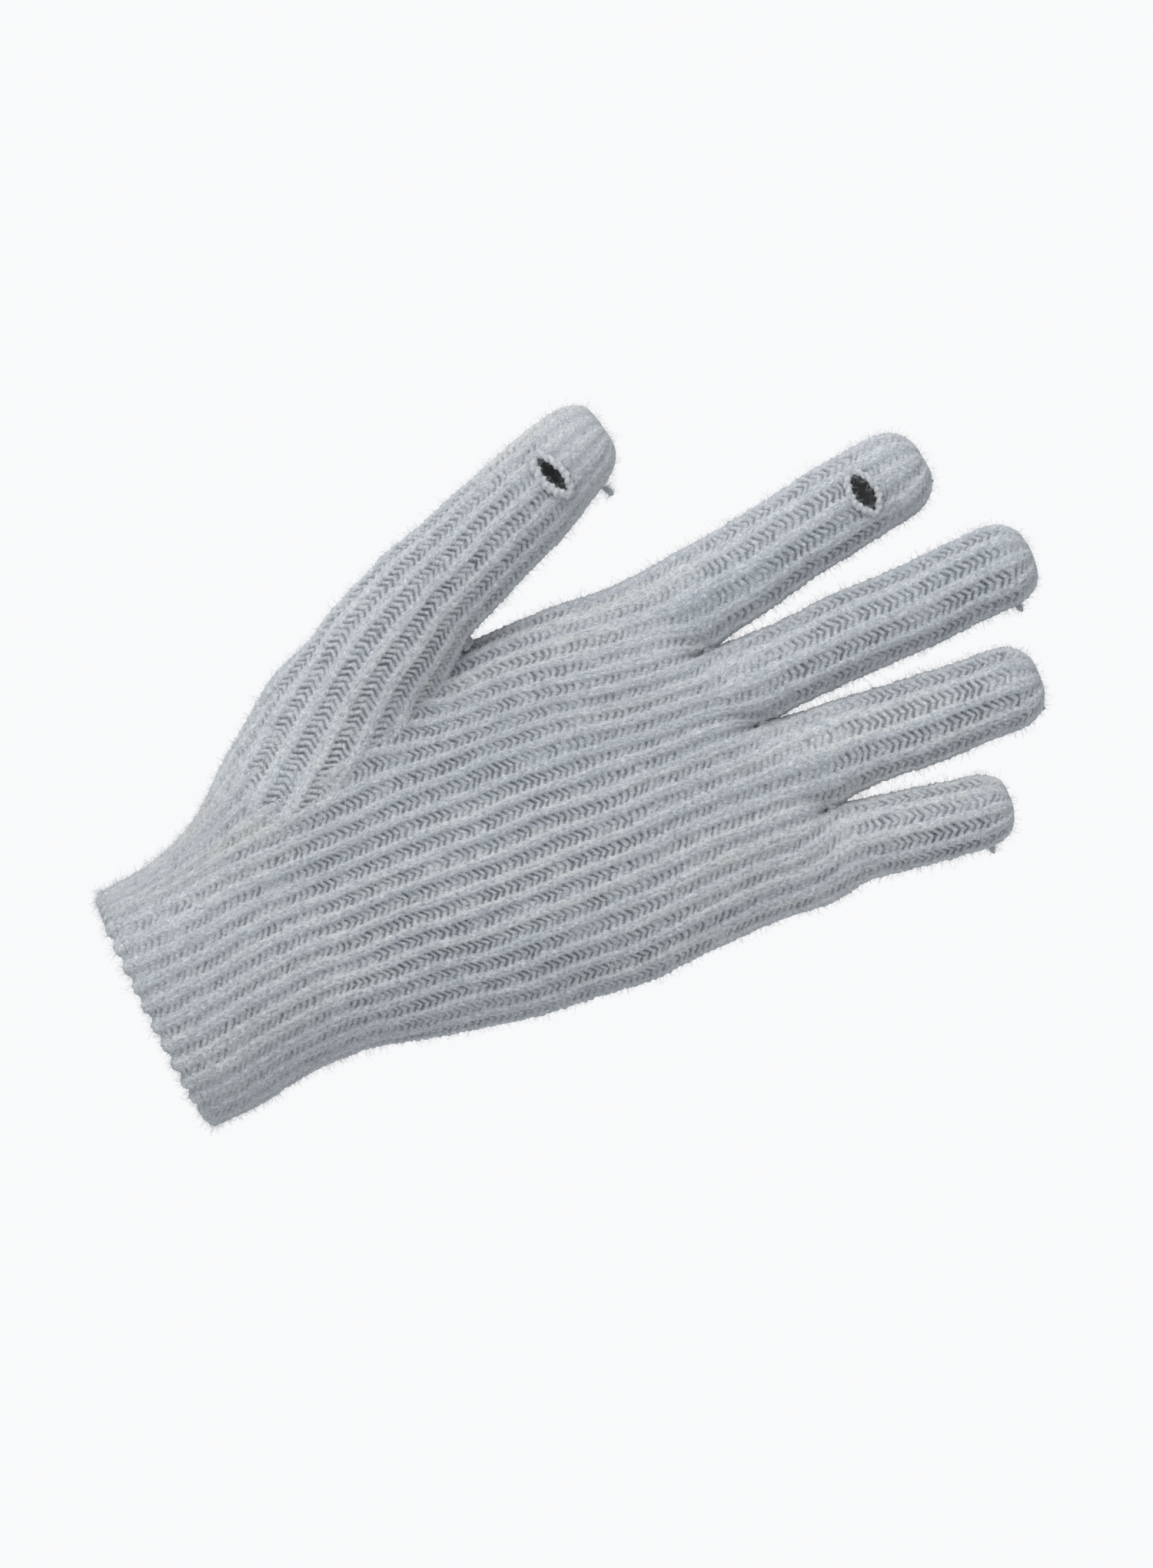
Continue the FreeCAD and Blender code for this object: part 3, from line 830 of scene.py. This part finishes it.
def makeDigit(digit, grids, ribs, courses, heights, openness, seed, rootKeep=None, melted=None):
    # cuts a finger into its stretches; grids are for below and above the slit
    cuts = list(digit["splits"])
    if digit["slit"]:
        cuts.append(digit["slit"][0])
    edges = [0] + [int(np.argmin(np.abs(heights - c))) for c in cuts] + [len(heights) - 1]
    made = []
    for k in range(len(edges) - 1):
        a, b = edges[k], edges[k + 1]
        rows = slice(a + 1, b + 2)
        cloth = Cloth()
        part = grids[1 if digit["slit"] and k == len(edges) - 2 else 0][a:b + 3]
        courseGrid = np.repeat(courses[rows, None], ribs.shape[1], 1)
        openGrid = openness[rows, None] * np.ones(ribs.shape[1])
        keep = None if rootKeep is None else rootKeep[rows]
        near = None if melted is None else melted[rows]
        knitPart(cloth, part, ribs[rows], courseGrid, openGrid, seed, keep, melted=near)
        made.append((cloth, k))
    return made


fingerBodies = {
    "index": ["index_base", "index_mid", "index_end", "index_cap"],
    "middle": ["middle_base", "middle_mid", "middle_end"],
    "ring": ["ring_base", "ring_mid", "ring_end"],
    "little": ["little_base", "little_mid", "little_end"],
}
stretchNames = ["first", "middle", "upper", "slit", "tip"]


def bendPoints(digit, low, high):
    # where a bend starts and ends, on the finger's axis and in metres
    u, w = axes(digit)
    base = np.array(digit["base"], float)
    return [tuple((base + w * h) * mm) for h in (low, high)]


def placeStretch(key, obj, k):
    # bakes the place of each stretch after the first into its mesh, hides the tube it stands in for, and with
    # the last stretch the tip cap
    if k > 2:
        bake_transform(obj)
    elif k > 0:
        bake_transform(obj)
        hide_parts(f"{key}_mid_tube" if k == 1 else f"{key}_end_tube")
    if k == 4:
        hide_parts(f"{key}_tip_cap")


def makeFinger(key):
    digit = digits[key]
    rows, courses = fingerRows(digit)
    grid, ribs = fingerGrid(digit, rows, False)
    upper = fingerGrid(digit, rows, True)[0]
    heights = halfWidth(digit, rows)[1][1:-1]
    openness = opening["finger"] + opening["fingerMiddle"] * np.sin(np.linspace(0, math.pi, len(rows)))
    if digit["slit"]:
        openness = denser(openness, digit["slit"][0] - opening["belowSlit"], opening["closes"]["slit"], rows)
    else:
        openness = denser(openness, digit["length"] - opening["belowTip"], opening["closes"]["tip"], rows)
    made = makeDigit(digit, (grid, upper), ribs, courses, heights, openness, seeds[-1])
    for cloth, k in made:
        obj = cloth.build(f"{key}_{stretchNames[k]}_knit", fabric)
        placeStretch(key, obj, k)
        if k == 0:
            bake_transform(obj)
            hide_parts(f"{key}_root_tube", f"{key}_base_tube")
    print(key, "finger knitted in", len(made), "stretches")


for key in digitOrder:
    makeFinger(key)


def thumbGrid(above):
    low = -heelRun
    high = surfaceLength(thumb)
    count = int((high - low) / rowStep)
    along = low + np.arange(-1, count + 2) * (high - low) / count
    along[0] = along[1] - rowStep
    x, y, z, lean, halfW, halfD, height = thumbSections(along)
    a = np.radians(lean)[:, None]
    steps = thumb["ribs"] * knit["ribSteps"]
    turns = np.arange(-1, steps + 2) / steps
    angle = math.pi + 2 * math.pi * turns[None, :]
    across = halfW[:, None] * np.cos(angle)
    towardsTip = smooth(*thumb["slants"], along)[:, None]
    across = across * np.where(across > 0, 1 - thumb["narrower"] * towardsTip, 1)
    front = np.sin(angle) < 0
    rise = np.where(front, slitShift(thumb, across, height[:, None] + 0 * across, above), 0)
    rise = rise - thumb["skew"] * across * towardsTip
    px = x[:, None] + np.cos(a) * across + np.sin(a) * rise
    pz = z[:, None] - np.sin(a) * across + np.cos(a) * rise
    py = y[:, None] + halfD[:, None] * np.sin(angle)
    grid = np.stack([px, py + 0 * px, pz], -1)
    ribs = np.repeat((turns[1:-1] * thumb["ribs"])[None, :], len(along), 0)
    return grid, ribs, (along - low) / knit["course"], along, height


def makeThumb():
    grid, ribs, courses, along, height = thumbGrid(False)
    upper = thumbGrid(True)[0]
    near = handDistance(grid[:, 1:-1])
    keep = ~(near < cutAway["inside"])
    heights = np.where(along < 0, along, height)[1:-1]
    openness = opening["thumb"] - opening["thumbLess"] * smooth(*opening["thumbOver"], along)
    openness = denser(openness, thumb["slit"][0] - opening["belowSlit"], opening["closes"]["thumb"], along)
    made = makeDigit(thumb, (grid, upper), ribs, courses, heights, openness, seeds["thumb"], keep, near)
    names = ["thumb_heel_knit", "thumb_first_knit", "thumb_upper_knit", "thumb_slit_knit", "thumb_tip_knit"]
    for cloth, k in made:
        obj = cloth.build(names[k], fabric)
        placeStretch("thumb", obj, k)
        if k == 0:
            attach(obj, "hand")
            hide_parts("thumb_heel_gusset", "thumb_root_tube")


makeThumb()
print("thumb knitted")

# awry: a direction that no yarn runs in; the groove value is painted shade in the grooves between plies
strand = {"plyDepth": 0.17, "endLength": 1.2, "endLeast": 0.12, "grooveShade": 0.35, "awry": (0.31, 0.35, 0.88)}


def addStrand(cloth, path, radius, lay=2.4, plies=2, beads=0.0, beadStep=1.5, sides=10, tone=0.5, fuzzy=1.2):
    # a short piece of plied yarn along a path, thin at both ends
    path = stray(np.asarray(path, float))
    tangent = unit(np.gradient(path, axis=0))
    first = unit(np.cross(tangent, strand["awry"]))
    second = np.cross(tangent, first)
    run = runOf(np.linalg.norm(np.diff(path, axis=0), axis=1))
    turn = np.linspace(0, 2 * math.pi, sides + 1)
    wave = np.cos(plies * turn[None, :] - 2 * math.pi * run[:, None] / lay)
    fromEnd = np.minimum(run, run[-1] - run) / (radius * strand["endLength"])
    ends = np.clip(fromEnd + strand["endLeast"], 0, 1) ** 0.5
    beaded = (1 + beads * np.cos(2 * math.pi * run / beadStep))[:, None]
    size = radius * ends[:, None] * (1 + strand["plyDepth"] * wave) * beaded
    points = (path[:, None] + first[:, None] * (np.cos(turn) * size)[..., None]
              + second[:, None] * (np.sin(turn) * size)[..., None])
    # painted shade in the grooves between the plies, carried in the hole channel
    looks = np.stack([strand["grooveShade"] * np.clip(-wave, 0, 1), np.ones_like(wave), tone + 0 * wave], -1)
    places = np.stack([turn[None, :] * radius + 0 * wave, run[:, None] + 0 * wave, tone * 40 + 0 * wave], -1)
    cloth.addGrid(points, looks, places)
    addFuzz(cloth, points, unit(points - path[:, None]), None, fuzzy)


def finishPiece(cloth, name, ownMaterial, bodies, node, bend=None):
    obj = cloth.build(name, [ownMaterial, fuzzMaterial])
    if bend:
        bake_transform(obj)
    else:
        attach(obj, bodies)
    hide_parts(node)


def handLoop(z):
    # the outline at one height, once round from the thumb edge over the palm: points, outward, rib numbers
    steps = hand["ribs"] * knit["ribSteps"]
    share = np.arange(0, steps + 1)[None, :] / steps
    rows = np.array([[z]]) + 0 * share
    px, py = handPoint(-1, rows, share)
    bx, by = handPoint(1, rows, share)
    x = np.concatenate([px[0], bx[0, ::-1][1:-1]])
    y = np.concatenate([py[0], by[0, ::-1][1:-1]])
    ribs = np.concatenate([share[0], share[0, ::-1][1:-1]]) * hand["ribs"]
    loop = np.stack([x, y, z + 0 * x], -1)
    around = np.roll(loop, -1, 0) - np.roll(loop, 1, 0)
    return loop, unit(np.stack([around[:, 1], -around[:, 0], 0 * around[:, 0]], -1)), ribs


# from, to: degrees of the roll; hump: for each rib
edge = {"radius": 1.45, "inset": 1.25, "height": -1.7, "from": -25, "to": 205, "steps": 18,
        "hump": 0.16, "uneven": 0.12, "open": 0.35}


def makeEdge():
    # the rolled edge at the wrist
    bottom = hand["cuffBottom"]
    loop, out, ribs = handLoop(bottom)
    turn = np.radians(np.linspace(edge["to"], edge["from"], edge["steps"]))[:, None]
    hump = 1 + edge["hump"] * np.cos(2 * math.pi * (ribs - 0.5))[None, :]
    hump = hump * (1 + edge["uneven"] * (softNoise(ribs * 1.3, 0 * ribs + 3.3, 4) - 0.5))[None, :]
    reach = -edge["inset"] + edge["radius"] * hump * np.cos(turn)
    drop = edge["height"] - bottom - edge["radius"] * hump * np.sin(turn)
    grid = loop[None] + out[None] * reach[..., None] + np.array([0, 0, 1.0]) * drop[..., None]
    grid = np.concatenate([grid[:, -1:], grid, grid[:, :2]], 1)
    ribGrid = np.repeat(np.append(ribs, ribs[0])[None, :], edge["steps"] - 2, 0)
    courses = np.repeat(np.arange(edge["steps"] - 2)[:, None] / knit["courseSteps"], ribGrid.shape[1], 1)
    cloth = Cloth()
    knitPart(cloth, grid, ribGrid, courses, edge["open"], seeds["edge"], inner=False, fuzzy=3.0)
    finishPiece(cloth, "cuff_rolled_edge", knitMaterial, "hand", "cuff_edge_welt")


elastic = {"heights": (6.3, 13.3, 20.3), "radius": 0.32, "inside": 2.05, "ripple": 0.15, "lay": 1.2}


def makeElastic():
    cloth = Cloth()
    for number, z in enumerate(elastic["heights"]):
        loop, out, ribs = handLoop(z)
        ripple = elastic["inside"] + elastic["ripple"] * np.cos(2 * math.pi * ribs)
        path = (loop - out * ripple[:, None])[::3]
        addStrand(cloth, path, elastic["radius"], lay=elastic["lay"], sides=6, tone=0.3 + 0.2 * number)
    finishPiece(cloth, "cuff_elastic_rounds", elasticMaterial, "hand", "cuff_elastic_threads")


seam = {"radius": 0.42, "reach": 1.25, "step": 1.9, "tilt": 0.45, "proud": 0.75, "sinks": 0.55,
        "low": 60, "high": 104, "everyRow": 4, "smoothed": 3}


def seamLine(blocks, side):
    # where the thumb's heel meets the hand, from below up to the fork
    line = []
    for inner, near in blocks:
        for r in range(0, inner.shape[0], seam["everyRow"]):
            if not seam["low"] < inner[r, 0, 2] < seam["high"]:
                continue
            d = near[r] if side < 0 else near[r][::-1]
            p = inner[r] if side < 0 else inner[r][::-1]
            hits = np.nonzero((d[:-1] < 0) & (d[1:] >= 0))[0]
            if len(hits):
                c = hits[-1]
                t = -d[c] / (d[c + 1] - d[c])
                line.append(p[c] * (1 - t) + p[c + 1] * t)
    line = np.array(sorted(line, key=lambda q: q[2]))
    for _ in range(seam["smoothed"]):
        line[1:-1] = (line[:-2] + line[1:-1] * 2 + line[2:]) / 4
    return line


def makeSeam(name, node, blocks, side):
    line = seamLine(blocks, side)
    run = runOf(np.linalg.norm(np.diff(line, axis=0), axis=1))
    cloth = Cloth()
    for s in np.arange(1, run[-1] - 1, seam["step"]):
        at = np.array([np.interp(s, run, line[:, k]) for k in range(3)])
        ahead = unit(np.array([np.interp(s + 1, run, line[:, k]) for k in range(3)]) - at)
        cross = np.cross(ahead, [0, side, 0])
        t = np.linspace(-1, 1, 9)[:, None]
        path = at + ahead * t * seam["reach"] + cross * t * seam["tilt"]
        path = path + np.array([0, side, 0]) * (seam["proud"] - seam["sinks"] * t**2)
        addStrand(cloth, path, seam["radius"], sides=8, tone=float(rng.uniform(0.3, 0.7)))
    finishPiece(cloth, name, seamMaterial, "hand", node)


# half: reach to the palm and to the back; drop: sag at the ends; spread: between the three stitches
fork = {"radius": 0.62, "half": 4.6, "drop": 2.6, "spread": 0.9, "lower": 0.35, "closer": 0.4, "aslant": 0.3}


def makeFork(name, node, x, y, z, lean):
    # three stitches laid over the fork from the palm to the back
    cloth = Cloth()
    a = math.radians(lean)
    for k in (-1, 0, 1):
        t = np.linspace(-1, 1, 13)[:, None]
        sag = fork["drop"] * t**2 + fork["lower"] * abs(k)
        aside = k * fork["spread"] * (1 - fork["closer"] * t**2) + fork["aslant"] * t
        path = np.array([x, y, z]) + np.array([0, 1.0, 0]) * t * fork["half"]
        path = path - np.array([math.sin(a), 0, math.cos(a)]) * sag
        path = path + np.array([math.cos(a), 0, -math.sin(a)]) * aside
        addStrand(cloth, path, fork["radius"], tone=0.35 + 0.15 * k)
    finishPiece(cloth, name, seamMaterial, "hand", node)


lip = {"past": 0.8, "beads": 0.16, "beadStep": 1.4, "lay": 2.6, "proud": 0.35, "tone": 0.62}


def makeLip(key, digit, bodies, above, radius):
    # the bound edge along one side of a touch slit
    middle, width, tall = digit["slit"]
    u, w = axes(digit)
    base = np.array(digit["base"], float)
    half = width / 2 + lip["past"]
    t = np.linspace(-half, half, 40)
    sign = 1 if above else -1
    height = middle + sign * (slitOpening(digit, t) + radius * lip["proud"])
    size = halfWidth(digit, np.array(middle))[0]
    front = size * digit["flat"] * np.sqrt(1 - (t / size) ** 2) + lip["proud"]
    path = base + w * height[:, None] + u * t[:, None] - np.array([0, 1.0, 0]) * front[:, None]
    cloth = Cloth()
    addStrand(cloth, path, radius, lip["lay"], 2, lip["beads"], lip["beadStep"], 12, lip["tone"])
    place = "upper" if above else "lower"
    finishPiece(cloth, f"{key}_slit_{place}_lip", bindMaterial, bodies,
                f"{key}_slit_edge_{place}", bendPoints(digit, *digit["cap"]))


# angle: where the yarn end leaves the round tip, in degrees from the finger's axis
tail = {
    "angles": {"index": 33, "middle": 78, "ring": 40, "little": 80, "thumb": 80},
    "lengths": {"index": 1.0, "middle": 2.0, "ring": 1.2, "little": 2.0, "thumb": 1.9},
    "radius": 0.66, "thumbThinner": 0.7, "fan": 20, "fanRise": 0.4, "toPalm": 0.5, "tone": 0.6, "fuzzy": 7,
}


def makeTail(key, digit, body):
    # the drawn-in yarn end at a fingertip; the thumb has three
    u, w = axes(digit)
    size = digit["widths"][1]
    radius = tail["radius"] * (tail["thumbThinner"] if key == "thumb" else 1)
    a = math.radians(tail["angles"][key])
    foot = np.array(digit["base"], float) + w * (digit["length"] - size)
    foot = foot + (u * math.sin(a) + w * math.cos(a)) * size
    t = np.linspace(-0.5, 1, 12)[:, None]
    cloth = Cloth()
    for spread in (-1, 0, 1) if key == "thumb" else (0,):
        b = a + math.radians(tail["fan"] * spread)
        out = u * math.sin(b) + w * math.cos(b)
        path = foot + out * t * tail["lengths"][key] + w * t**2 * tail["fanRise"] * spread
        path = path + np.array([0, -tail["toPalm"], 0]) * t**2
        addStrand(cloth, path, radius, tone=tail["tone"], fuzzy=tail["fuzzy"])
    finishPiece(cloth, f"{key}_yarn_end", bindMaterial, body, f"{key}_tip_closure")


makeEdge()
makeElastic()
makeSeam("thumb_seam_palm_stitches", "thumb_seam_palm", palmBlocks, -1)
makeSeam("thumb_seam_back_stitches", "thumb_seam_back", backBlocks, 1)
for (x, z), pair in zip(crotches, ("index_middle", "middle_ring", "ring_little")):
    makeFork(f"fork_{pair}", f"crotch_{pair}", x, 0, z - 1.0, 2)
makeFork("fork_thumb", "crotch_thumb", -43.4, -2.5, 98.6, -38)
for key, digit, radius, lower in (("index", digits["index"], 0.85, 1), ("thumb", thumb, 0.95, 1.15)):
    bodies = (f"{key}_end", f"{key}_cap")
    makeLip(key, digit, bodies, False, radius * lower)
    makeLip(key, digit, bodies, True, radius * 0.9)
for key in digitOrder:
    makeTail(key, digits[key], fingerBodies[key][-1])
makeTail("thumb", thumb, "thumb_cap")
print("edges, seams and yarn ends made")

# Light and camera, in metres; the view looks at the palm, with the fingers to the right
studio = {
    "backdrop": 0.96, "backdropColour": (0.985, 0.990, 1.0, 1),
    "fill": 0.81, "fillColour": (0.97, 0.985, 1.0, 1),
    "key": 9.8, "keySize": 0.7, "keyColour": (1.0, 0.985, 0.965), "keyPlace": (0.85, -0.35, 0.75),
    "distance": 1.2, "seen": 0.357, "sensor": 36,  # seen: height of the view at the glove
}
target = np.array([-0.0030, 0, 0.1057])
right = np.array([0.4493, 0, 0.8934])
up = np.array([-0.8934, 0, 0.4493])
rear = np.array([0, -1, 0])

world = bpy.data.worlds.new("pale studio")
scene.world = world
world.use_nodes = True
tree = world.node_tree
backdrop = tree.nodes["Background"]
fill = node(tree, "ShaderNodeBackground")
for shade, key in ((backdrop, "backdrop"), (fill, "fill")):
    shade.inputs[0].default_value = studio[key + "Colour"]
    shade.inputs[1].default_value = studio[key]
seen = node(tree, "ShaderNodeLightPath")
either = node(tree, "ShaderNodeMixShader")
tree.links.new(seen.outputs["Is Camera Ray"], either.inputs[0])
tree.links.new(fill.outputs[0], either.inputs[1])
tree.links.new(backdrop.outputs[0], either.inputs[2])
tree.links.new(either.outputs[0], tree.nodes["World Output"].inputs[0])
scene.view_settings.view_transform = "Standard"

camera = bpy.data.objects.new("camera", bpy.data.cameras.new("camera"))
scene.collection.objects.link(camera)
scene.camera = camera
eye = target + rear * studio["distance"]
camera.matrix_world = Matrix([[right[i], up[i], rear[i], eye[i]] for i in range(3)] + [[0, 0, 0, 1]])
camera.data.sensor_fit = "VERTICAL"
camera.data.sensor_height = studio["sensor"]
camera.data.sensor_width = studio["sensor"]
camera.data.lens = studio["sensor"] * studio["distance"] / studio["seen"]
camera.data.clip_start = 0.05
camera.data.dof.use_dof = False


def addLight(name, place, size, energy):
    # a soft box, placed by how far it is up the view, to its right and towards the camera
    data = bpy.data.lights.new(name, "AREA")
    data.shape = "SQUARE"
    data.size = size
    data.energy = energy
    data.color = studio["keyColour"]
    light = bpy.data.objects.new(name, data)
    scene.collection.objects.link(light)
    along, aside, towards = place
    spot = target + up * along + right * aside + rear * towards
    light.location = spot
    light.rotation_mode = "QUATERNION"
    light.rotation_quaternion = Vector(target - spot).to_track_quat("-Z", "Y")


addLight("key_softbox", studio["keyPlace"], studio["keySize"], studio["key"])
